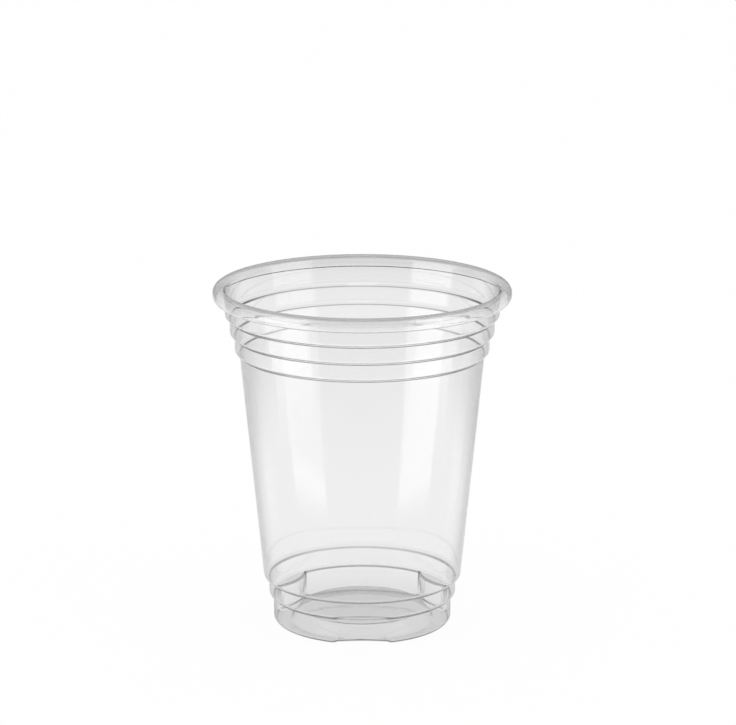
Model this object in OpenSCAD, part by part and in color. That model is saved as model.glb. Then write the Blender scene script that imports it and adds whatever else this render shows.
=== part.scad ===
// Clear disposable cup, formed as one sheet.
// The sheet is one path from the middle of the floor to the tip of the rolled rim,
// given its thickness and turned about the Z axis. Three scoops are then pressed
// into the wall of the foot. Millimetres, +Z up, Z = 0 is the table.

/* [Cup] */
// Height from the table to the top of the rim
cup_h = 107; // [85:0.5:140]
// Outside diameter of the rolled rim
rim_d = 92; // [80:0.5:104]
// Outside diameter of the foot at the table
base_d = 55.3; // [48:0.1:62]
// Thickness of the sheet
wall = 0.3; // [0.2:0.05:0.5]
// Inside radius of the sheet where a ledge turns down into the wall below it
bend_r = 0.3; // [0.2:0.05:0.4]
// Inside radius of the sheet where a ledge turns up into the wall above it
corner_r = 0.8; // [0.3:0.05:0.9]
// Slope from the upright of the short walls, in degrees
draft = 0.7; // [0:0.1:2]

/* [Rolled rim] */
// Width of the rolled bead
roll_d = 3.9; // [3:0.1:5]
// Height of the flat outer side of the bead, between its rounded top and bottom
roll_side = 0.6; // [0.1:0.1:1.5]
// Angle that the bead turns back in below its outer side
roll_under = 60; // [45:5:130]
// Height of the plain neck, from the top of the rim to the first step
neck_h = 8.9; // [6.5:0.1:12]

/* [Steps below the rim] */
// Number of steps
step_count = 3; // [1:1:5]
// Height from one step to the next
step_pitch = 5.6; // [4:0.1:8]
// Width of each sloping ledge, measured towards the axis
step_in = 1.45; // [1:0.05:2.2]
// Height that each ledge loses over its width
step_drop = 1; // [0.4:0.1:1.6]

/* [Shoulder and band above the foot] */
// Height of the lower edge of the band, and of the tops of the lugs
band_low = 8.1; // [6:0.1:10]
// Height of the upper edge of the band
band_high = 13.9; // [12:0.1:18]
// Width of the ledge from the foot out to the band
band_out = 1.35; // [0.8:0.05:2]
// Width of the ledge from the band out to the tall side wall
shoulder_out = 1.6; // [0.8:0.05:2.4]
// Height that each of these two ledges gains over its width
ledge_rise = 0.8; // [0.4:0.1:1.4]

/* [Foot] */
// Inside radius of the sheet along the edges of the foot ring and of the raised floor
foot_round = 1; // [0.5:0.1:1.4]
// Width of the foot ring, across its two edges before they are rounded
foot_w = 5.6; // [5:0.1:8]
// Height of the raised floor above the table
floor_rise = 3.8; // [2.5:0.1:5]
// Width of the slope from the foot ring up to the raised floor
slope_w = 2.6; // [1:0.1:4]

/* [Stacking lugs] */
// Number of lugs pressed into the foot
lug_count = 3; // [2:1:4]
// Depth of each lug at its middle, at its top
lug_depth = 3.4; // [2:0.1:4]
// The same where its hollow face would reach the table
lug_foot_depth = 2.2; // [1.4:0.1:3.4]
// Radius of each lug's hollow face at its top
lug_r = 20.8; // [14:0.1:24]
// Inside radius along the top edge of each lug
lug_round = 0.5; // [0.2:0.1:0.8]
// Inside radius of the sheet along the bottom edge of each lug
lug_foot_round = 2; // [1:0.1:2.4]

/* [Hidden] */

$fn = 180;
TURN_POINTS = 5;       // steps in the arc of one small bend
ROLL_POINTS = 15;      // steps in the upper and in the lower arc of the rolled bead
CLEAR = 1;             // how far a cut runs past the surface that it opens
FIRST_LUG = -90;       // direction of the first lug, in degrees from +X
SHORT_OF_FLAT = 10;    // degrees by which a scoop's corner ends before it lies flat

lean = tan(draft);
base_x = base_d / 2;

// The bead leaves the neck, turns over the top, comes down its outer side and turns
// back in below. Its rounded top and bottom have these middles.
roll_r = roll_d / 2;
roll_high = [rim_d / 2 - roll_r, cup_h - roll_r];
roll_low = roll_high - [0, roll_side];
roll_from = 180 - draft;
neck_top = roll_high + (roll_r - wall) * [cos(roll_from), sin(roll_from)];

// The first step starts below the neck, and each one takes step_x off the radius
first_z = cup_h - neck_h;
first_x = neck_top[0] - (neck_top[1] - first_z) * lean;
step_x = step_in + (step_pitch - step_drop) * lean;

band_x = base_x + band_low * lean + band_out;
band_top_x = band_x + (band_high - band_low - ledge_rise) * lean;
ring_x = base_x - foot_w;
lug_x = base_x - lug_depth + lug_r;
lug_foot_r = lug_r - lug_depth + lug_foot_depth;
lug_lean = atan((lug_r - lug_foot_r) / band_low);

// The corners of the sheet's outer face before they are rounded: [corner, bend radius]
foot_corners = [
    [[ring_x - slope_w, floor_rise], foot_round],
    [[ring_x, 0], foot_round],
    [[base_x, 0], foot_round],
    [[base_x + band_low * lean, band_low], bend_r]
];
band_corners = [
    [[band_x, band_low + ledge_rise], corner_r],
    [[band_top_x, band_high], bend_r],
    [[band_top_x + shoulder_out, band_high + ledge_rise], corner_r]
];
step_corners = [
    for (i = [step_count - 1 : -1 : 0])
        for (low = [true, false])
            let (z = first_z - i * step_pitch, x = first_x - i * step_x)
                low ? [[x - step_in, z - step_drop], bend_r] : [[x, z], corner_r]
];
corners = concat(foot_corners, band_corners, step_corners);

start = [0, floor_rise];
route = concat([start], [for (c = corners) c[0]], [neck_top]);

// Unit vector from a to b, and the same vector turned left
function along(a, b) = (b - a) / norm(b - a);
function left(v) = [-v[1], v[0]];

function arc(c, r, from, to, steps) =
    [for (i = [0 : steps]) c + r * [cos(from + (to - from) * i / steps), sin(from + (to - from) * i / steps)]];

// A corner b between a and c, rounded with the given inside radius. The inner face of
// the sheet lies to the left of the path, so a left turn has its larger radius here.
function bend(a, b, c, inside) =
    let (
        u = along(a, b),
        v = along(b, c),
        side = sign(cross(u, v)),
        turn = acos(u * v),
        r = side > 0 ? inside + wall : inside,
        middle = b - u * r * tan(turn / 2) + side * left(u) * r,
        from = atan2(u[1], u[0]) - side * 90
    )
    arc(middle, r, from, from + side * turn, TURN_POINTS);

// Points on the left of a path, at the sheet's thickness from it
function inner_face(path, end) = [
    for (i = [0 : len(path) - 1])
        let (
            u = i == 0 ? [1, 0] : along(path[i - 1], path[i]),
            v = i == len(path) - 1 ? end : along(path[i], path[i + 1])
        )
        path[i] + wall * left(u + v) / (1 + u * v)
];

outer_wall = concat(
    [start],
    [for (i = [1 : len(corners)]) each bend(route[i - 1], route[i], route[i + 1], corners[i - 1][1])],
    [neck_top]
);
inner_wall = inner_face(outer_wall, [sin(draft), cos(draft)]);
mouth = inner_wall[len(inner_wall) - 1];

// The section of the bead at one radius, from the neck to its tip
function roll(r) = concat(
    arc(roll_high, r, roll_from, 0, ROLL_POINTS),
    arc(roll_low, r, 0, -roll_under, ROLL_POINTS)
);
roll_inside = roll(roll_r - wall);
roll_outside = roll(roll_r);
roll_tip = len(roll_inside) - 1;

// The outside of the cup as a solid, with the rolled bead on its edge
module outer_form() {
    rotate_extrude()
        polygon(concat(
            outer_wall,
            [for (i = [1 : roll_tip]) roll_inside[i]],
            [for (i = [roll_tip : -1 : 0]) roll_outside[i]],
            [[0, mouth[1]]]
        ));
}

// The room inside the cup
module inner_form() {
    rotate_extrude()
        polygon(concat(inner_wall, [[mouth[0], cup_h + CLEAR], [0, cup_h + CLEAR]]));
}

// Radius of a scoop's side at a height, moved out by the given distance
function scoop_r(z, out) = lug_foot_r + (out + z * sin(lug_lean)) / cos(lug_lean);

// The scoops that press the lugs in, each grown by the given thickness. Each one widens
// to the rounded corner at the table and is rounded at its top.
module scoops(grow) {
    corner = lug_foot_round + wall;
    foot_middle = [scoop_r(corner, corner), corner];
    foot_arc = arc(foot_middle, corner - grow, 270 - SHORT_OF_FLAT, 180 - lug_lean, TURN_POINTS);
    top_z = band_low - lug_round;
    top_arc = arc([scoop_r(top_z, -lug_round), top_z], lug_round + grow, -lug_lean, 90, TURN_POINTS);
    for (i = [0 : lug_count - 1])
        rotate([0, 0, FIRST_LUG + i * 360 / lug_count])
            translate([lug_x, 0, 0])
                rotate_extrude()
                    polygon(concat(
                        [[0, -CLEAR], [foot_arc[0][0], -CLEAR]],
                        foot_arc,
                        top_arc,
                        [[0, band_low + grow]]
                    ));
}

module cup() {
    color([0.93, 0.95, 0.96, 0.45])
        difference() {
            difference() {
                outer_form();
                scoops(0);
            }
            difference() {
                inner_form();
                scoops(wall);
            }
        }
}

cup();
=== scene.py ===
"""Clear disposable cup: its wall as a turned section with pressed lugs, its plastic, and the studio round it."""

import math

import bpy
from bpy.props import FloatProperty, FloatVectorProperty, IntProperty, PointerProperty
from mathutils import Matrix, Vector


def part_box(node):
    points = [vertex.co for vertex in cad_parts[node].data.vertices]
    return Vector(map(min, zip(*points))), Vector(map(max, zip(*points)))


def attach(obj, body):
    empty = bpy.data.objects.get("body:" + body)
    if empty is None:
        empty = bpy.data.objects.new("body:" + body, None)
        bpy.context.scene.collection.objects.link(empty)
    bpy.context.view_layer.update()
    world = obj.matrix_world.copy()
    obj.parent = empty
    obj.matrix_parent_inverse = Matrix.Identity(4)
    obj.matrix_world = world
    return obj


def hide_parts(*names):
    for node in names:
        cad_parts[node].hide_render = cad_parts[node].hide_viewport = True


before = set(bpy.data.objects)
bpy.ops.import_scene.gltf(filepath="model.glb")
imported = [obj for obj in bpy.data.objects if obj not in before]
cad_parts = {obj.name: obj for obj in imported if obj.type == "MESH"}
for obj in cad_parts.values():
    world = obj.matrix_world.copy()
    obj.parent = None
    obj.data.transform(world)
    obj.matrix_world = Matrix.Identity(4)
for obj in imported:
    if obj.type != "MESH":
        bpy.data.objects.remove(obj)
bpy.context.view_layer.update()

bl_info = {
    "name": "Clear disposable cup",
    "version": (1, 0, 0),
    "blender": (4, 5, 0),
    "location": "3D View > Sidebar > Cup",
    "description": "A clear cup of formed sheet with its plastic and its studio",
    "category": "Object",
}

CUP_LOW, CUP_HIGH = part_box("cup")
RIM_WIDTH = min(CUP_HIGH.x - CUP_LOW.x, CUP_HIGH.y - CUP_LOW.y)

# Points along the section
BEND_STEPS = 6  # in the arc of one small bend
ROLL_STEPS = 16  # in the upper and in the lower arc of the rolled bead
WALL_RINGS = 8  # rings that divide the tall side wall
LEAD = 0.00015  # from the end of a bend to the ring that holds its shading
STRAIGHT = math.radians(1)  # a corner that turns by less has no arc
SPARE_PLACE = 0.36  # along the band's ledge, where the plain section has a straight corner for a lug's bend
SPARE_SPREAD = 0.08  # of the ledge's height, to each side of that corner

# Columns of the turned wall in half of one lug's sector
COLUMNS_ON_LUG = 12
COLUMNS_AT_EDGE = 16
COLUMNS_BETWEEN = 20
EDGE_BAND = math.radians(2.4)  # past each end of a lug's leaning edge

SAME_POINT = 2e-6  # points closer than this become one

# How strongly painted shade darkens the sheet in its folds, in place of the light that the real bends turn away
STEP_FOLD_SHADE = 1.0
FOOT_FOLD_SHADE = 1.2
SHOULDER_FOLD_SHADE = 1.6
BAND_FOLD_SHADE = 2.0  # along the band's lower edge and the lugs' tops
FOLD_REACH = 0.00045  # from the middle of a fold, along the sheet, to where its painted shade ends
FOLD_FADE = 0.0002  # over which the painted shade fades out
RIDGE_REACH = 0.0004  # from a lug's upright edge, measured in its depth, to where the painted shade of the fold along it ends
EDGE_PLACE = 0.0005  # from that edge, measured in the lug's depth, to the middle of the painted dark line beside it
EDGE_REACH = 0.0007  # from the middle of that line to where it ends
EDGE_FADE = 0.0002  # over which the line fades out
TABLE_FADE = 2.0  # power by which the painted fold shade and the painted line fade out towards the table

# Patterns in the plastic
WAVE_ROUGHNESS = 0.4  # how much the finer waves weigh
HAZE_DETAIL = 3.0
HAZE_FROM, HAZE_TO = 0.35, 0.75  # levels of the haze's pattern between which the haze grows

# Floor, room and camera
FLOOR_SIDES = 64
GRAIN_SCALE = 400.0  # specks to the metre
GRAIN_LOW = 0.97  # of the floor's tint, in the darkest speck
PALE_TO, DIM_FROM = 0.25, 1.0  # from the cup, over which the floor that the plastic shows dims in painted shade
UNDER_FOOT_TO, CLEAR_OF_FOOT = 0.03, 0.055  # from the cup's axis, over which the painted shade below the foot ends
EYE_LEVEL, OVERHEAD = 0.1, 0.5  # upward part of a direction, over which the room's brightness changes
PICTURE_WIDTH = 736  # pixels
SENSOR_WIDTH = 36.0  # millimetres
CLIP_NEAR, CLIP_FAR = 0.05, 20  # metres from the camera

# The painted pools of light below the side softboxes on the floor, by the direction from the front and the distance
POOL_BEGINS = (math.radians(42), math.radians(45))
POOL_ENDS = (math.radians(83), math.radians(86))
POOL_GROWS = (0.16, 0.3)
POOL_FADES = (0.32, 0.4)
POOL_LEFT, POOL_RIGHT = 0.75, 0.3  # what is left of each pool behind its softbox

STATION_LAYERS = ("press", "skin", "plain_crease", "lug_crease")

LUG_INPUTS = (
    "Lug Foot Radius",
    "Lug Lean",
    "Lug Centre",
    "Lug Top",
    "Foot Half Angle",
    "Top Half Angle",
    "Foot Radius",
    "Sheet",
    "Side Round",
    "Side Round Low",
    "Side Rise",
    "Top Round",
)

# The two inputs and the output of a Mix node that belong to each kind of value
MIX_SOCKETS = {"FLOAT": (2, 3, 0), "VECTOR": (4, 5, 1), "RGBA": (6, 7, 2)}


def length(name, text, default):
    """A size in metres."""
    return FloatProperty(
        name=name, description=text, default=default, min=0, precision=5, subtype="DISTANCE", unit="LENGTH"
    )


def angle(name, text, degrees):
    """An angle, given here in degrees."""
    return FloatProperty(
        name=name, description=text, default=math.radians(degrees), subtype="ANGLE", unit="ROTATION"
    )


def colour(name, text, default):
    """A colour, linear red, green and blue."""
    return FloatVectorProperty(
        name=name, description=text, default=default, size=3, min=0, max=1, subtype="COLOR"
    )


def share(name, text, default):
    """A part of a whole."""
    return FloatProperty(name=name, description=text, default=default, min=0, max=1, subtype="FACTOR")


def power(name, text, default):
    """A lamp's power in watts."""
    return FloatProperty(
        name=name, description=text, default=default, min=0, precision=3, subtype="POWER", unit="POWER"
    )


class CupSizes(bpy.types.PropertyGroup):
    """Sizes of the formed sheet."""

    height: length("Height", "From the table to the top of the rim", CUP_HIGH.z)
    rim_width: length("Rim width", "Outside diameter of the rolled rim", RIM_WIDTH)
    base_width: length("Base width", "Outside diameter of the foot at the table", 0.0553)
    sheet: length("Sheet", "Thickness of the sheet", 0.0003)
    bend: length("Bend", "Inside radius where a ledge turns down into the wall below it", 0.0003)
    corner: length("Corner", "Inside radius where a ledge turns up into the wall above it", 0.0008)
    draft: angle("Draft", "Slope of the short walls from the upright", 0.7)
    roll_width: length("Roll width", "Width of the rolled bead", 0.0039)
    roll_side: length("Roll side", "Height of the flat outer side of the bead", 0.0006)
    roll_under: angle("Roll under", "Angle that the bead turns back in below its outer side", 60)
    neck: length("Neck", "From the top of the rim to the first step", 0.0089)
    steps: IntProperty(name="Steps", description="Number of steps below the rim", default=3, min=1, max=5)
    step_pitch: length("Step pitch", "Height from one step to the next", 0.0056)
    step_in: length("Step width", "Width of each sloping ledge", 0.00145)
    step_drop: length("Step drop", "Height that each ledge loses over its width", 0.001)
    band_low: length("Band low", "Height of the band's lower edge and of the lugs", 0.0081)
    band_high: length("Band high", "Height of the band's upper edge", 0.0139)
    band_out: length("Band ledge", "Width of the ledge from the foot out to the band", 0.00135)
    shoulder_out: length("Shoulder", "Width of the ledge from the band out to the side wall", 0.0016)
    ledge_rise: length("Ledge rise", "Height that these two ledges gain over their width", 0.0008)
    foot_round: length("Foot round", "Inside radius along the edges of the foot ring and of the raised floor", 0.001)
    foot_ring: length("Foot ring", "Width of the foot ring", 0.0056)
    floor_rise: length("Floor rise", "Height of the raised floor above the table", 0.0038)
    floor_slope: length("Floor slope", "Width of the slope up to the raised floor", 0.0026)
    lugs: IntProperty(name="Lugs", description="Number of stacking lugs", default=3, min=2, max=4)
    lug_depth: length("Lug depth", "Depth of each lug at its middle, at its top", 0.0034)
    lug_foot_depth: length("Lug foot depth", "The same where its hollow face would reach the table", 0.0022)
    lug_radius: length("Lug radius", "Radius of each lug's hollow face at its top", 0.0208)
    lug_round: length("Lug top round", "Inside radius along the top edge of each lug", 0.0005)
    lug_foot_round: length("Lug foot round", "Inside radius along the bottom edge of each lug", 0.002)
    lug_side: length("Lug side round", "How far the rounding of a lug's upright edges reaches", 0.0009)
    lug_side_low: length("Lug side round below", "The same at the table, where the edges run out", 0.0065)
    lug_side_rise: length("Lug side rise", "Height over which the rounding narrows", 0.0035)


class PlasticLook(bpy.types.PropertyGroup):
    """Look of the clear plastic. Slants go from 0, facing the eye, to 1, edge on."""

    tint: colour("Tint", "Colour that the sheet leaves in light that goes through", (0.935, 0.935, 0.938))
    # Partly the sheet's longer path at a slant, partly painted shade along its silhouettes
    edge_tint_and_shade: colour("Edge tint", "The same where the sheet is seen nearly edge on", (0.4, 0.4, 0.41))
    # Painted shade: the four colours below darken the folds and the lugs' upright edges in place of the light that the
    # real bends turn away
    fold_shade_tint: colour("Fold tint", "The same in a fold of the sheet that faces the eye", (0.92, 0.92, 0.925))
    fold_edge_shade_tint: colour("Fold edge tint", "The same in a fold that is seen at a slant", (0.03, 0.03, 0.032))
    deep_fold_shade_tint: colour("Deep fold tint", "The same in the folds of the foot", (0.38, 0.38, 0.39))
    lug_edge_shade_tint: colour(
        "Lug edge tint", "The same along a lug's upright edge that is seen at a slant", (0.02, 0.02, 0.021)
    )
    slant_from: share("Slant from", "Slant at which the sheet starts to darken", 0.5)
    slant_to: share("Slant to", "Slant at which it is darkest", 0.97)
    # Painted shade: the next five settings make the slanted sheet darken sooner high on the tall wall and later on the
    # raised floor
    wall_sooner: share("Wall sooner", "How much sooner that starts at the top of the tall wall", 0.32)
    floor_later: share("Floor later", "How much later it starts on the raised floor", 0.07)
    shaded_from: length("Shaded from", "Height above which the tall wall darkens sooner", 0.048)
    shaded_to: length("Shaded to", "Height of the top of the tall wall", 0.086)
    floor_below: length("Floor below", "Height below which the sheet is the raised floor or the foot ring", 0.0045)
    fold_from: share("Fold slant from", "Slant at which a fold starts to darken", 0.1)
    fold_to: share("Fold slant to", "Slant at which a fold is darkest", 0.5)
    # The line along a lug's upright edge is a painted dark line
    line_from: share("Line slant from", "Slant at which the line along a lug's upright edge starts to show", 0.1)
    line_to: share("Line slant to", "Slant at which that line is darkest", 0.35)
    ior: FloatProperty(name="IOR", description="How strongly the plastic bends light", default=1.575, min=1)
    clear: share("Clearest", "Roughness of the smoothest plastic", 0.0)
    hazy: share("Haziest", "Roughness where forming has dulled the sheet a little", 0.04)
    haze_scale: FloatProperty(name="Haze scale", description="Patches of haze to the metre", default=60, min=1)
    wave: length("Wave", "Depth of the waves that forming leaves in the sheet", 0.00004)
    wave_scale: FloatProperty(name="Wave scale", description="Waves to the metre round the cup", default=110, min=1)
    wave_upward: share("Waves upward", "Waves up the wall for each one round the cup", 0.12)


class StudioLook(bpy.types.PropertyGroup):
    """Camera, floor and lights."""

    distance: length("Distance", "From the camera to the cup's axis, along the floor", 1.0528)
    camera_height: length("Camera height", "Height of the camera above the floor", 0.3491)
    pitch: angle("Pitch", "How far the camera looks down", 14.211)
    focal: FloatProperty(name="Focal length", description="Focal length in pixels of the picture", default=3520, min=1)
    aside: FloatProperty(
        name="Aside", description="Pixels that the cup stands left of the picture's middle", default=5.75
    )
    floor_radius: length("Floor radius", "Radius of the pale floor", 4)
    floor_gap: length("Floor gap", "Air left between the foot and the floor", 0.00005)
    floor_tint: colour("Floor tint", "Colour of the pale floor", (0.92, 0.92, 0.92))
    glow: share("Ground glow", "Part of the white ground that the cup's shadow can't darken", 0.96)
    glow_through: share("Ground through plastic", "The same where the ground is seen through the plastic", 0.85)
    glow_mirrored: share("Ground mirrored", "The same where the plastic mirrors the ground", 0.5)
    # Painted light and shade on the floor, shown only through or mirrored in the plastic: pools of light below the
    # softboxes, dimming further out and a shadow below the cup
    painted_gleam: FloatProperty(name="Gleam", description="Light that the softboxes lay on the floor", default=1.5, min=0)
    far_floor: share("Far floor", "How bright the floor away from the cup looks through the plastic", 0.35)
    under_foot: share("Under the foot", "How bright the floor below the cup looks through the plastic", 0.9)
    room_low: share("Room at eye level", "Brightness of the room round the cup", 0.6)
    room_high: share("Room overhead", "Brightness of the room above the cup", 0.5)
    room_light: share("Room light", "How strongly the room lights the floor", 1.0)
    top_height: length("Top softbox height", "Height of the softbox over the cup", 0.7)
    top_size: length("Top softbox size", "Width of that softbox", 0.12)
    top_power: power("Top softbox power", "Power of that softbox", 0.05)
    side_place: FloatVectorProperty(
        name="Side softbox place",
        description="Middle of the right-hand softbox. The left-hand one is its mirror image",
        default=(0.32, -0.137, 0.25),
        size=3,
        subtype="TRANSLATION",
        unit="LENGTH",
    )
    side_width: length("Side softbox width", "Width of each of these softboxes", 0.264)
    side_height: length("Side softbox height", "Height of each of these softboxes", 0.5)
    side_power: power("Side softbox power", "Power of each of these softboxes", 0.17)


def mesh_object(name, points, faces=()):
    """A new object at the origin with this mesh."""
    mesh = bpy.data.meshes.new(name)
    mesh.from_pydata([tuple(p) for p in points], [], list(faces))
    mesh.update()
    made = bpy.data.objects.new(name, mesh)
    bpy.context.scene.collection.objects.link(made)
    return made


def add_node(tree, kind, inputs=None, **settings):
    """A node with its settings. inputs gives sockets or plain values by the input's name or number."""
    made = tree.nodes.new(kind)
    for name, value in settings.items():
        setattr(made, name, value)
    for place, value in (inputs or {}).items():
        socket = made.inputs[place]
        if isinstance(value, bpy.types.NodeSocket):
            tree.links.new(value, socket)
        else:
            socket.default_value = value
    return made


def calc(tree, operation, *values):
    """The result of a Math node in a shader tree or a geometry tree."""
    return add_node(tree, "ShaderNodeMath", dict(enumerate(values)), operation=operation).outputs[0]


def ramp(tree, value, begin, end, low=0.0, high=1.0, smooth=False):
    """From low to high as a value goes from begin to end."""
    inputs = {"Value": value, "From Min": begin, "From Max": end, "To Min": low, "To Max": high}
    kind = "SMOOTHSTEP" if smooth else "LINEAR"
    return add_node(tree, "ShaderNodeMapRange", inputs, interpolation_type=kind).outputs[0]


def mixed(tree, kind, factor, a, b):
    """From a to b as the factor goes from 0 to 1, for one kind of value."""
    first, second, result = MIX_SOCKETS[kind]
    return add_node(tree, "ShaderNodeMix", {0: factor, first: a, second: b}, data_type=kind).outputs[result]


class Station:
    """One ring of the turned wall: its place on the plain section and on the section through a lug, whether it moves
    in with a lug, which face of the sheet it lies on, and how strongly painted shade darkens each section there, in
    place of the light that the real bends turn away."""

    def __init__(self, plain, lugged, press, skin, plain_crease=0.0, lug_crease=0.0):
        self.plain = plain
        self.lugged = lugged
        self.press = press
        self.skin = skin
        self.plain_crease = plain_crease
        self.lug_crease = lug_crease


def unit(a, b):
    """The direction from a to b."""
    return (b - a).normalized()


def left(v):
    """A vector turned left by a right angle."""
    return Vector((-v.y, v.x))


def turn_between(u, v):
    """The angle between two directions."""
    return math.acos(max(-1.0, min(1.0, u.dot(v))))


def bend_points(a, b, c, inside, sheet, spread):
    """The rounded corner b between a and c as (point, normal) pairs, the normal to the left, where the sheet is.
    A straight corner gives points spread to each side of b."""
    u, v = unit(a, b), unit(b, c)
    turn = turn_between(u, v)
    side = 1 if u.x * v.y - u.y * v.x > 0 else -1
    if turn < STRAIGHT:
        return [(b + u * spread * (2 * i / BEND_STEPS - 1), left(u)) for i in range(BEND_STEPS + 1)]
    radius = inside + sheet if side > 0 else inside
    middle = b - u * radius * math.tan(turn / 2) + side * left(u) * radius
    points = []
    for i in range(BEND_STEPS + 1):
        to_middle = Matrix.Rotation(side * turn * i / BEND_STEPS, 2) @ (side * left(u))
        points.append((middle - to_middle * radius, side * to_middle))
    return points


def path_points(start, corners, end, sheet, spread):
    """(point, normal, painted fold shade) from start through the rounded corners to end. Each straight piece has a
    ring close to both of its ends, so that a bend's shading and its painted shade stay in the bend."""
    route = [start] + [c[0] for c in corners] + [end]
    arcs = []
    for i, (_, inside, crease) in enumerate(corners):
        bend = bend_points(route[i], route[i + 1], route[i + 2], inside, sheet, spread)
        turn = turn_between(bend[0][1], bend[-1][1])
        half_arc = (inside + sheet / 2) * turn / 2
        arc = []
        for j, (point, normal) in enumerate(bend):
            off_middle = half_arc * abs(2 * j / BEND_STEPS - 1)
            arc.append((point, normal, crease * max(0.0, min(1.0, (FOLD_REACH - off_middle) / FOLD_FADE))))
        arcs.append(arc)
    points = [(start, left(unit(route[0], route[1])), 0.0)]
    for i, arc in enumerate(arcs):
        along = unit(route[i], route[i + 1])
        if i > 0:
            points.append((arcs[i - 1][-1][0] + along * LEAD, left(along), 0.0))
        points.append((arc[0][0] - along * LEAD, left(along), 0.0))
        points += arc
    along = unit(route[-2], end)
    points.append((arcs[-1][-1][0] + along * LEAD, left(along), 0.0))
    points.append((end, left(along), 0.0))
    return points


def cup_corners(size):
    """The corners of the sheet's outer face, as [corner, inside radius, painted fold shade], on the plain section and
    through a lug, the numbers of those corners that move in with a lug, and the middle of the bead's top and the
    neck's end."""
    lean = math.tan(size.draft)
    base = size.base_width / 2
    ring = base - size.foot_ring
    band = base + size.band_low * lean + size.band_out
    band_top = band + (size.band_high - size.band_low - size.ledge_rise) * lean
    roll = size.roll_width / 2
    high = Vector((size.rim_width / 2 - roll, size.height - roll))
    neck_top = high + (roll - size.sheet) * Vector((-math.cos(size.draft), math.sin(size.draft)))
    first_z = size.height - size.neck
    first_x = neck_top.x - (neck_top.y - first_z) * lean
    step = size.step_in + (size.step_pitch - size.step_drop) * lean

    floor = [
        [Vector((ring - size.floor_slope, size.floor_rise)), size.foot_round, 0.0],
        [Vector((ring, 0)), size.foot_round, 0.0],
    ]
    ledge_foot = Vector((base + size.band_low * lean, size.band_low))
    ledge_top = Vector((band, size.band_low + size.ledge_rise))
    plain_foot = [
        [Vector((base, 0)), size.foot_round, FOOT_FOLD_SHADE],
        [ledge_foot, size.bend, BAND_FOLD_SHADE],
        [ledge_foot.lerp(ledge_top, SPARE_PLACE), size.bend, 0.0],
    ]
    lug_foot = [
        [Vector((base, 0)), size.lug_foot_round, FOOT_FOLD_SHADE],
        [Vector((base, size.band_low)), size.lug_round, BAND_FOLD_SHADE],
        [ledge_foot, size.bend, 0.0],
    ]
    upper = [
        [ledge_top, size.corner, 0.0],
        [Vector((band_top, size.band_high)), size.bend, SHOULDER_FOLD_SHADE],
        [Vector((band_top + size.shoulder_out, size.band_high + size.ledge_rise)), size.corner, 0.0],
    ]
    for i in reversed(range(size.steps)):
        z, x = first_z - i * size.step_pitch, first_x - i * step
        upper.append([Vector((x - size.step_in, z - size.step_drop)), size.bend, STEP_FOLD_SHADE])
        upper.append([Vector((x, z)), size.corner, 0.0])
    moving = (len(floor), len(floor) + 1)
    return floor + plain_foot + upper, floor + lug_foot + upper, moving, high, neck_top


def cup_section(size):
    """The stations of the whole sheet, from the middle of the floor's underside to the bead's tip and back along the
    inner face to the middle of the floor."""
    plain, lugged, moving, high, neck_top = cup_corners(size)
    start = Vector((0, size.floor_rise))
    spread = size.ledge_rise * SPARE_SPREAD
    plain_wall = path_points(start, plain, neck_top, size.sheet, spread)
    lugged_wall = path_points(start, lugged, neck_top, size.sheet, spread)

    # Each corner has its arc and a ring close to both ends of it
    per_corner = BEND_STEPS + 3
    first = 1 + moving[0] * per_corner
    last = (moving[1] + 1) * per_corner
    walls = []
    for i, (a, b) in enumerate(zip(plain_wall, lugged_wall)):
        walls.append((a, b, 1.0 if first <= i <= last else 0.0))
    wall_top = 1 + (len(lugged) - 2 * size.steps) * per_corner
    low_end, high_end = plain_wall[wall_top - 1], plain_wall[wall_top]
    rings = []
    for i in range(1, WALL_RINGS + 1):
        ring = (low_end[0].lerp(high_end[0], i / (WALL_RINGS + 1)), low_end[1], 0.0)
        rings.append((ring, ring, 0.0))
    walls[wall_top:wall_top] = rings

    stations = [Station(a[0], b[0], press, 0.0, a[2], b[2]) for a, b, press in walls]
    low = high - Vector((0, size.roll_side))
    turn_from = math.pi - size.draft
    arcs = [(high, turn_from * (1 - i / ROLL_STEPS)) for i in range(ROLL_STEPS + 1)]
    arcs += [(low, -size.roll_under * i / ROLL_STEPS) for i in range(ROLL_STEPS + 1)]

    def roll(radius):
        """The bead's section at one radius, from the neck to its tip."""
        return [m + radius * Vector((math.cos(t), math.sin(t))) for m, t in arcs]

    inner, outer = roll(size.roll_width / 2 - size.sheet), roll(size.roll_width / 2)
    stations += [Station(p, p, 0.0, 0.0) for p in inner[1:]]
    stations += [Station(p, p, 0.0, 1.0) for p in reversed(outer)]
    for a, b, press in reversed(walls[:-1]):
        stations.append(Station(a[0] + a[1] * size.sheet, b[0] + b[1] * size.sheet, press, 1.0, a[2], b[2]))
    return stations


def section_object(stations):
    """The section as points in the XZ plane, with what the turned wall reads from each."""
    made = mesh_object("cup_section", [(s.plain.x, 0, s.plain.y) for s in stations])
    lugged = made.data.attributes.new("lugged", "FLOAT_VECTOR", "POINT")
    lugged.data.foreach_set("vector", [part for s in stations for part in (s.lugged.x, 0, s.lugged.y)])
    for name in STATION_LAYERS:
        layer = made.data.attributes.new(name, "FLOAT", "POINT")
        layer.data.foreach_set("value", [getattr(s, name) for s in stations])
    return made


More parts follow.
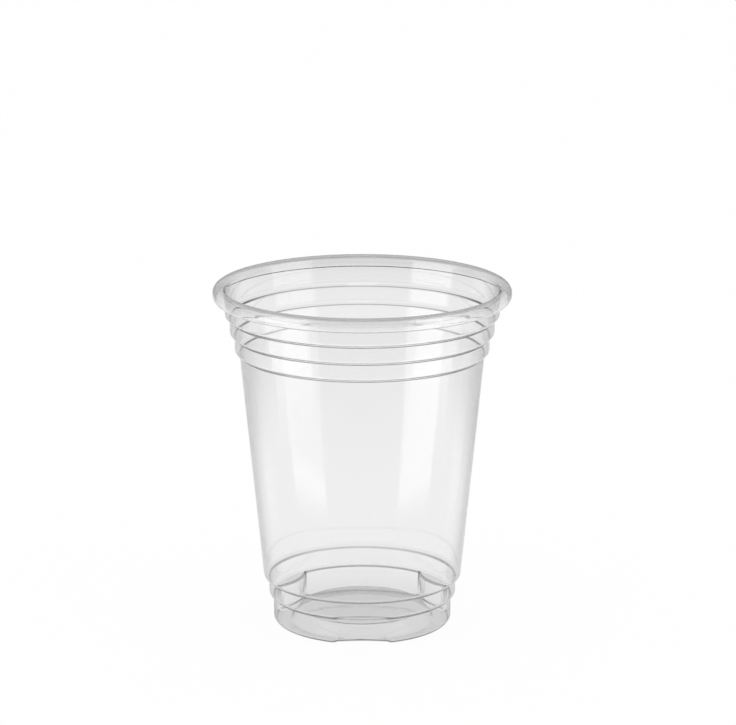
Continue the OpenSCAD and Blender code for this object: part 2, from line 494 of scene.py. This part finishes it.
def turned_wall_tree():
    """Geometry Nodes that turn the section about the Z axis and press the lugs into the foot."""
    tree = bpy.data.node_groups.new("turned_wall", "GeometryNodeTree")
    face = tree.interface
    face.new_socket("Section", in_out="INPUT", socket_type="NodeSocketObject")
    face.new_socket("Lugs", in_out="INPUT", socket_type="NodeSocketInt")
    for name in LUG_INPUTS:
        face.new_socket(name, in_out="INPUT", socket_type="NodeSocketFloat")
    face.new_socket("Plastic", in_out="INPUT", socket_type="NodeSocketMaterial")
    face.new_socket("Geometry", in_out="OUTPUT", socket_type="NodeSocketGeometry")
    given = tree.nodes.new("NodeGroupInput").outputs

    def math_node(operation, *values):
        """The result of a Math node in this tree."""
        return calc(tree, operation, *values)

    section = add_node(tree, "GeometryNodeObjectInfo", {"Object": given["Section"]}).outputs["Geometry"]
    rings = add_node(tree, "GeometryNodeAttributeDomainSize", {"Geometry": section}).outputs["Point Count"]
    half_columns = COLUMNS_ON_LUG + COLUMNS_AT_EDGE + COLUMNS_BETWEEN
    columns = math_node("MULTIPLY", given["Lugs"], 2 * half_columns)
    lines = {"Vertices X": math_node("ADD", columns, 1), "Vertices Y": rings}
    grid = add_node(tree, "GeometryNodeMeshGrid", lines).outputs["Mesh"]

    index = add_node(tree, "GeometryNodeInputIndex").outputs[0]
    column = math_node("FLOOR", math_node("DIVIDE", math_node("ADD", index, 0.5), rings))
    ring = math_node("SUBTRACT", index, math_node("MULTIPLY", column, rings))

    def read(value, kind):
        """The section's value at this ring."""
        inputs = {"Geometry": section, "Value": value, "Index": ring}
        return add_node(tree, "GeometryNodeSampleIndex", inputs, data_type=kind, domain="POINT").outputs[0]

    def named(name, kind):
        """An attribute of the section."""
        return add_node(tree, "GeometryNodeInputNamedAttribute", {"Name": name}, data_type=kind).outputs[0]

    plain = read(add_node(tree, "GeometryNodeInputPosition").outputs[0], "FLOAT_VECTOR")
    lugged = read(named("lugged", "FLOAT_VECTOR"), "FLOAT_VECTOR")
    press, skin, plain_crease, lug_crease = (read(named(name, "FLOAT"), "FLOAT") for name in STATION_LAYERS)

    # The column's place in its half sector: 0 at the middle of a lug, half_columns midway between two lugs
    place = math_node("PINGPONG", column, half_columns)
    sector = math_node("FLOOR", math_node("DIVIDE", math_node("ADD", column, half_columns), 2 * half_columns))
    after = math_node("SUBTRACT", column, math_node("MULTIPLY", sector, 2 * half_columns))
    half_sector = math_node("DIVIDE", math.pi, given["Lugs"])
    edge_low = math_node("SUBTRACT", given["Foot Half Angle"], EDGE_BAND)
    edge_high = math_node("ADD", given["Top Half Angle"], EDGE_BAND)
    edge_wide = math_node("SUBTRACT", edge_high, edge_low)
    rest = math_node("SUBTRACT", half_sector, edge_high)
    off_lug = 0.0
    begin = 0
    for count, width in ((COLUMNS_ON_LUG, edge_low), (COLUMNS_AT_EDGE, edge_wide), (COLUMNS_BETWEEN, rest)):
        off_lug = math_node("ADD", off_lug, ramp(tree, place, begin, begin + count, high=width))
        begin += count
    turn = math_node(
        "ADD",
        math_node("MULTIPLY", sector, math_node("MULTIPLY", half_sector, 2)),
        math_node("MULTIPLY", off_lug, math_node("SIGN", after)),
    )
    turn = math_node("SUBTRACT", turn, math.pi / 2)

    near = math_node("MINIMUM", off_lug, edge_high)
    thick = math_node("MULTIPLY", skin, given["Sheet"])
    wall = math_node("SUBTRACT", given["Foot Radius"], thick)

    def room_at(height):
        """From the scoop's leaning hollow face out to the foot wall, at a height."""
        nominal = math_node("MULTIPLY_ADD", height, given["Lug Lean"], given["Lug Foot Radius"])
        grown = math_node("ADD", nominal, thick)
        across = math_node("MULTIPLY", given["Lug Centre"], math_node("SINE", near))
        reach = math_node("SUBTRACT", math_node("MULTIPLY", grown, grown), math_node("MULTIPLY", across, across))
        hollow = math_node(
            "SUBTRACT",
            math_node("MULTIPLY", given["Lug Centre"], math_node("COSINE", near)),
            math_node("SQRT", math_node("MAXIMUM", reach, 0.0)),
        )
        return math_node("SUBTRACT", wall, hollow)

    def depth_at(height):
        """How far the foot wall moves in at a height."""
        low, high = given["Side Round Low"], given["Side Round"]
        round_here = ramp(tree, height, 0.0, given["Side Rise"], low, high, smooth=True)
        return math_node("SMOOTH_MAX", room_at(height), 0.0, round_here)

    # The section goes from the plain one to the one through a lug as the lug's top grows deep enough for its rounding
    blend = ramp(tree, depth_at(given["Lug Top"]), 0.0, given["Top Round"], smooth=True)
    section_here = mixed(tree, "VECTOR", blend, plain, lugged)
    place_now = add_node(tree, "ShaderNodeSeparateXYZ", {0: section_here}).outputs
    radius = math_node("SUBTRACT", place_now["X"], math_node("MULTIPLY", press, depth_at(place_now["Z"])))

    # Painted shade in the fold along a lug's upright edge, and a painted dark line beside it, in place of the way the
    # real sharper bend there breaks the light. Both fade out towards the table.
    room = room_at(place_now["Z"])
    above = math_node("MINIMUM", math_node("DIVIDE", place_now["Z"], given["Side Rise"]), 1.0)
    above = math_node("MULTIPLY", press, math_node("POWER", above, TABLE_FADE))
    fold = ramp(tree, math_node("ABSOLUTE", room), RIDGE_REACH, RIDGE_REACH - FOLD_FADE)
    crease = mixed(tree, "FLOAT", blend, plain_crease, lug_crease)
    crease = math_node("MAXIMUM", crease, math_node("MULTIPLY", fold, above))
    off_line = math_node("ABSOLUTE", math_node("SUBTRACT", room, EDGE_PLACE))
    line = math_node("MULTIPLY", ramp(tree, off_line, EDGE_REACH, EDGE_REACH - EDGE_FADE), above)

    turned = {
        "X": math_node("MULTIPLY", radius, math_node("COSINE", turn)),
        "Y": math_node("MULTIPLY", radius, math_node("SINE", turn)),
        "Z": place_now["Z"],
    }
    spot = add_node(tree, "ShaderNodeCombineXYZ", turned).outputs[0]
    shape = grid
    # Store the painted fold shade and the painted dark line for the plastic's colour
    for name, value in (("crease", crease), ("lug_edge", line)):
        inputs = {"Geometry": shape, "Name": name, "Value": value}
        shape = add_node(tree, "GeometryNodeStoreNamedAttribute", inputs, data_type="FLOAT").outputs[0]
    for kind, inputs in (
        ("GeometryNodeSetPosition", {"Position": spot}),
        ("GeometryNodeMergeByDistance", {"Distance": SAME_POINT}),
        ("GeometryNodeSetShadeSmooth", {"Shade Smooth": True}),
        ("GeometryNodeRealizeInstances", {}),
        ("GeometryNodeSetMaterial", {"Material": given["Plastic"]}),
    ):
        shape = add_node(tree, kind, {"Geometry": shape, **inputs}).outputs[0]
    tree.links.new(shape, tree.nodes.new("NodeGroupOutput").inputs[0])
    return tree


def finished(carrier, modifier, name):
    """The modifier's result as a plain mesh on a new object at the origin."""
    graph = bpy.context.evaluated_depsgraph_get()
    mesh = bpy.data.meshes.new_from_object(carrier.evaluated_get(graph), depsgraph=graph)
    carrier.modifiers.remove(modifier)
    mesh.name = name
    made = bpy.data.objects.new(name, mesh)
    bpy.context.scene.collection.objects.link(made)
    return made


def remove(*things):
    """Take out helper objects that have done their work."""
    for thing in things:
        mesh = thing.data
        bpy.data.objects.remove(thing)
        bpy.data.meshes.remove(mesh)


def clear_plastic(look):
    """Clear formed sheet: a faint tint that deepens at a slant, partly for the longer path through the sheet and
    partly as painted shade, painted shade in the folds and along the lugs' upright edges, slight haze in patches, and
    shallow waves that run up the wall."""
    material = bpy.data.materials.new("clear_plastic")
    material.use_nodes = True
    tree = material.node_tree
    shader = tree.nodes["Principled BSDF"]
    shader.inputs["IOR"].default_value = look.ior
    shader.inputs["Transmission Weight"].default_value = 1.0

    place = add_node(tree, "ShaderNodeTexCoord").outputs["Object"]
    tall = add_node(tree, "ShaderNodeMapping", {"Vector": place, "Scale": (1.0, 1.0, look.wave_upward)}).outputs[0]
    waves = {"Vector": tall, "Scale": look.wave_scale, "Roughness": WAVE_ROUGHNESS}
    streaks = add_node(tree, "ShaderNodeTexNoise", waves).outputs[0]
    bump = add_node(tree, "ShaderNodeBump", {"Height": streaks, "Distance": look.wave}).outputs[0]
    tree.links.new(bump, shader.inputs["Normal"])
    haze = {"Vector": place, "Scale": look.haze_scale, "Detail": HAZE_DETAIL}
    patches = add_node(tree, "ShaderNodeTexNoise", haze).outputs[0]
    tree.links.new(ramp(tree, patches, HAZE_FROM, HAZE_TO, look.clear, look.hazy), shader.inputs["Roughness"])

    facing = add_node(tree, "ShaderNodeLayerWeight").outputs["Facing"]

    def slanted(begin, end, flat, slant):
        """From one colour to the other as the sheet turns from the eye."""
        return mixed(tree, "RGBA", ramp(tree, facing, begin, end, smooth=True), (*flat, 1), (*slant, 1))

    # Painted shade: high on the tall wall the slanted sheet darkens sooner, and on the raised floor later
    height = add_node(tree, "ShaderNodeSeparateXYZ", {0: place}).outputs["Z"]
    risen = ramp(tree, height, look.shaded_from, look.shaded_to)
    on_wall = calc(tree, "LESS_THAN", height, look.shaded_to)
    on_floor = calc(tree, "LESS_THAN", height, look.floor_below)
    sooner = calc(tree, "MULTIPLY", calc(tree, "MULTIPLY", risen, on_wall), look.wall_sooner)
    later = calc(tree, "MULTIPLY", on_floor, look.floor_later)
    begin = calc(tree, "ADD", calc(tree, "SUBTRACT", look.slant_from, sooner), later)
    # At a slant the sheet darkens, partly for its longer path through the sheet and partly as painted shade
    wall = slanted(begin, look.slant_to, look.tint, look.edge_tint_and_shade)
    fold = slanted(look.fold_from, look.fold_to, look.fold_shade_tint, look.fold_edge_shade_tint)

    # Painted fold shade of up to 1 brings in the fold's shade colour, and what is over 1 brings in the deep one
    crease = add_node(tree, "ShaderNodeAttribute", attribute_name="crease").outputs["Fac"]
    tinted = mixed(tree, "RGBA", crease, wall, fold)
    tinted = mixed(tree, "RGBA", calc(tree, "SUBTRACT", crease, 1.0), tinted, (*look.deep_fold_shade_tint, 1))
    # Painted dark line along a lug's upright edge, where it is seen at a slant
    lug_edge = add_node(tree, "ShaderNodeAttribute", attribute_name="lug_edge").outputs["Fac"]
    line = calc(tree, "MULTIPLY", lug_edge, ramp(tree, facing, look.line_from, look.line_to, smooth=True))
    tinted = mixed(tree, "RGBA", line, tinted, (*look.lug_edge_shade_tint, 1))
    tree.links.new(tinted, shader.inputs["Base Color"])
    return material


class CUP_OT_make(bpy.types.Operator):
    """Turn the cup's sheet from its section and press the stacking lugs into its foot"""

    bl_idname = "cup.make"
    bl_label = "Make the cup"

    def execute(self, context):
        size = context.scene.cup_sizes
        base = size.base_width / 2
        centre = base - size.lug_depth + size.lug_radius
        foot_radius = size.lug_radius - size.lug_depth + size.lug_foot_depth

        def half_angle(radius):
            """Half the angle that a scoop of this radius takes out of the foot."""
            return math.acos((centre**2 + base**2 - radius**2) / (2 * centre * base))

        section = section_object(cup_section(size))
        carrier = mesh_object("cup_carrier", [(0, 0, 0)])
        tree = turned_wall_tree()
        modifier = carrier.modifiers.new("turned_wall", "NODES")
        modifier.node_group = tree
        values = {
            "Section": section,
            "Lugs": size.lugs,
            "Lug Foot Radius": foot_radius,
            "Lug Lean": (size.lug_radius - foot_radius) / size.band_low,
            "Lug Centre": centre,
            "Lug Top": size.band_low,
            "Foot Half Angle": half_angle(foot_radius),
            "Top Half Angle": half_angle(size.lug_radius),
            "Foot Radius": base,
            "Sheet": size.sheet,
            "Side Round": size.lug_side,
            "Side Round Low": size.lug_side_low,
            "Side Rise": size.lug_side_rise,
            "Top Round": size.lug_round,
            "Plastic": clear_plastic(context.scene.plastic_look),
        }
        for item in tree.interface.items_tree:
            if item.in_out == "INPUT":
                modifier[item.identifier] = values[item.name]
        cup = finished(carrier, modifier, "clear_cup")
        remove(carrier, section)
        if not cup.data.polygons:
            raise RuntimeError("the turned wall has no faces")
        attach(cup, "root")
        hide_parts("cup")
        return {"FINISHED"}


def painted_softbox_pools(tree, place, away, look):
    """Painted pools of light on the floor below the two side softboxes: bright at their feet, fainter behind them and
    gone near the cup."""
    spot = add_node(tree, "ShaderNodeSeparateXYZ", {0: place}).outputs
    sideways = calc(tree, "ABSOLUTE", spot["X"])
    around = calc(tree, "ARCTAN2", sideways, calc(tree, "MULTIPLY", spot["Y"], -1.0))
    behind = mixed(tree, "FLOAT", calc(tree, "LESS_THAN", spot["X"], 0.0), POOL_RIGHT, POOL_LEFT)
    painted_gleam = look.painted_gleam
    for value, (begin, end), low, high in (
        (around, POOL_BEGINS, 0.0, 1.0),
        (around, POOL_ENDS, 1.0, 0.0),
        (away, POOL_GROWS, 0.0, 1.0),
        (away, POOL_FADES, 1.0, behind),
    ):
        painted_gleam = calc(tree, "MULTIPLY", ramp(tree, value, begin, end, low, high, smooth=True), painted_gleam)
    return painted_gleam


def floor_material(look):
    """Pale matt floor that shows as a white ground and keeps the cup's shadow. Seen through the plastic or mirrored in
    it, the ground is white round the cup and dims further out in painted shade, with a painted shadow below the foot
    and a painted pool of light below each side softbox."""
    material = bpy.data.materials.new("pale_floor")
    material.use_nodes = True
    tree = material.node_tree
    tree.nodes.remove(tree.nodes["Principled BSDF"])
    place = add_node(tree, "ShaderNodeTexCoord").outputs["Object"]
    grain = add_node(tree, "ShaderNodeTexNoise", {"Vector": place, "Scale": GRAIN_SCALE}).outputs[0]
    tint = add_node(tree, "ShaderNodeVectorMath", {0: tuple(look.floor_tint)}, operation="SCALE")
    tree.links.new(ramp(tree, grain, 0.0, 1.0, GRAIN_LOW, 1.0), tint.inputs["Scale"])
    matt = add_node(tree, "ShaderNodeBsdfDiffuse", {"Color": tint.outputs[0]}).outputs[0]

    path = add_node(tree, "ShaderNodeLightPath").outputs
    away = add_node(tree, "ShaderNodeVectorMath", {0: place}, operation="LENGTH").outputs["Value"]
    # Painted shade further out and below the foot, and painted pools of light below the softboxes
    pale = ramp(tree, away, PALE_TO, DIM_FROM, 1.0, look.far_floor, smooth=True)
    under = ramp(tree, away, UNDER_FOOT_TO, CLEAR_OF_FOOT, look.under_foot, 1.0, smooth=True)
    shown = calc(tree, "ADD", calc(tree, "MULTIPLY", pale, under), painted_softbox_pools(tree, place, away, look))
    level = mixed(tree, "FLOAT", path["Is Camera Ray"], shown, 1.0)
    glow = add_node(tree, "ShaderNodeEmission", {"Strength": level}).outputs[0]
    glowing = calc(tree, "MULTIPLY", path["Is Camera Ray"], look.glow)
    for ray, part in (("Is Transmission Ray", look.glow_through), ("Is Glossy Ray", look.glow_mirrored)):
        glowing = calc(tree, "MAXIMUM", glowing, calc(tree, "MULTIPLY", path[ray], part))
    mix = add_node(tree, "ShaderNodeMixShader", {0: glowing, 1: matt, 2: glow})
    tree.links.new(mix.outputs[0], tree.nodes["Material Output"].inputs["Surface"])
    return material


def surround(look):
    """A pale room that shows as white to the camera."""
    world = bpy.data.worlds.new("studio")
    bpy.context.scene.world = world
    world.use_nodes = True
    tree = world.node_tree
    ground = tree.nodes["Background"]
    way = add_node(tree, "ShaderNodeTexCoord").outputs["Generated"]
    upward = add_node(tree, "ShaderNodeSeparateXYZ", {0: way}).outputs["Z"]
    room = ramp(tree, upward, EYE_LEVEL, OVERHEAD, look.room_low, look.room_high)
    path = add_node(tree, "ShaderNodeLightPath").outputs
    level = mixed(tree, "FLOAT", path["Is Diffuse Ray"], room, look.room_light)
    level = mixed(tree, "FLOAT", path["Is Camera Ray"], level, 1.0)
    tree.links.new(level, ground.inputs["Strength"])
    ground.inputs["Color"].default_value = (1, 1, 1, 1)


def lamp(name, place, size, watts):
    """A soft area lamp. It faces the cup's axis at its own height, or down when it hangs on the axis."""
    light = bpy.data.lights.new(name, "AREA")
    light.shape = "RECTANGLE"
    light.size, light.size_y = size
    light.energy = watts
    made = bpy.data.objects.new(name, light)
    made.location = place
    to_axis = Vector((0, 0, made.location.z)) - made.location
    if to_axis.length:
        made.rotation_euler = to_axis.to_track_quat("-Z", "Y").to_euler()
    made.visible_camera = False
    bpy.context.scene.collection.objects.link(made)


def camera(look):
    """A camera that stands and looks as the one of the photo did."""
    data = bpy.data.cameras.new("camera")
    data.sensor_fit = "HORIZONTAL"
    data.sensor_width = SENSOR_WIDTH
    data.lens = look.focal * SENSOR_WIDTH / PICTURE_WIDTH
    data.shift_x = look.aside / PICTURE_WIDTH
    data.clip_start, data.clip_end = CLIP_NEAR, CLIP_FAR
    made = bpy.data.objects.new("camera", data)
    made.location = (0, -look.distance, look.camera_height)
    made.rotation_euler = (math.pi / 2 - look.pitch, 0, 0)
    scene = bpy.context.scene
    scene.collection.objects.link(made)
    scene.camera = made
    scene.view_settings.view_transform = "Standard"


class CUP_OT_stage(bpy.types.Operator):
    """Lay the pale floor, hang the soft lamps, set the surround and place the camera"""

    bl_idname = "cup.stage"
    bl_label = "Set the stage"

    def execute(self, context):
        look = context.scene.studio_look
        edge = Vector((look.floor_radius, 0, -look.floor_gap))
        rim = [Matrix.Rotation(2 * math.pi * i / FLOOR_SIDES, 3, "Z") @ edge for i in range(FLOOR_SIDES)]
        floor = mesh_object("floor", rim, [range(FLOOR_SIDES)])
        floor.data.materials.append(floor_material(look))

        surround(look)
        lamp("top_softbox", (0, 0, look.top_height), (look.top_size, look.top_size), look.top_power)
        across, front, height = look.side_place
        for name, side in (("left_softbox", -1), ("right_softbox", 1)):
            lamp(name, (side * across, front, height), (look.side_width, look.side_height), look.side_power)
        camera(look)
        return {"FINISHED"}


class CUP_PT_panel(bpy.types.Panel):
    """Sizes, looks and steps of the clear cup"""

    bl_idname = "CUP_PT_panel"
    bl_label = "Clear cup"
    bl_space_type = "VIEW_3D"
    bl_region_type = "UI"
    bl_category = "Cup"

    def draw(self, context):
        for name, title in (("cup_sizes", "Sheet"), ("plastic_look", "Plastic"), ("studio_look", "Studio")):
            group = getattr(context.scene, name)
            box = self.layout.box()
            box.label(text=title)
            for setting in group.__annotations__:
                box.prop(group, setting)
        for step in (CUP_OT_make, CUP_OT_stage):
            self.layout.operator(step.bl_idname)


CLASSES = (CupSizes, PlasticLook, StudioLook, CUP_OT_make, CUP_OT_stage, CUP_PT_panel)
GROUPS = {"cup_sizes": CupSizes, "plastic_look": PlasticLook, "studio_look": StudioLook}


def register():
    for cls in CLASSES:
        bpy.utils.register_class(cls)
    for name, group in GROUPS.items():
        setattr(bpy.types.Scene, name, PointerProperty(type=group))


def unregister():
    for name in GROUPS:
        delattr(bpy.types.Scene, name)
    for cls in reversed(CLASSES):
        bpy.utils.unregister_class(cls)


def main():
    register()
    bpy.ops.cup.make()
    bpy.ops.cup.stage()


if __name__ == "__main__":
    main()
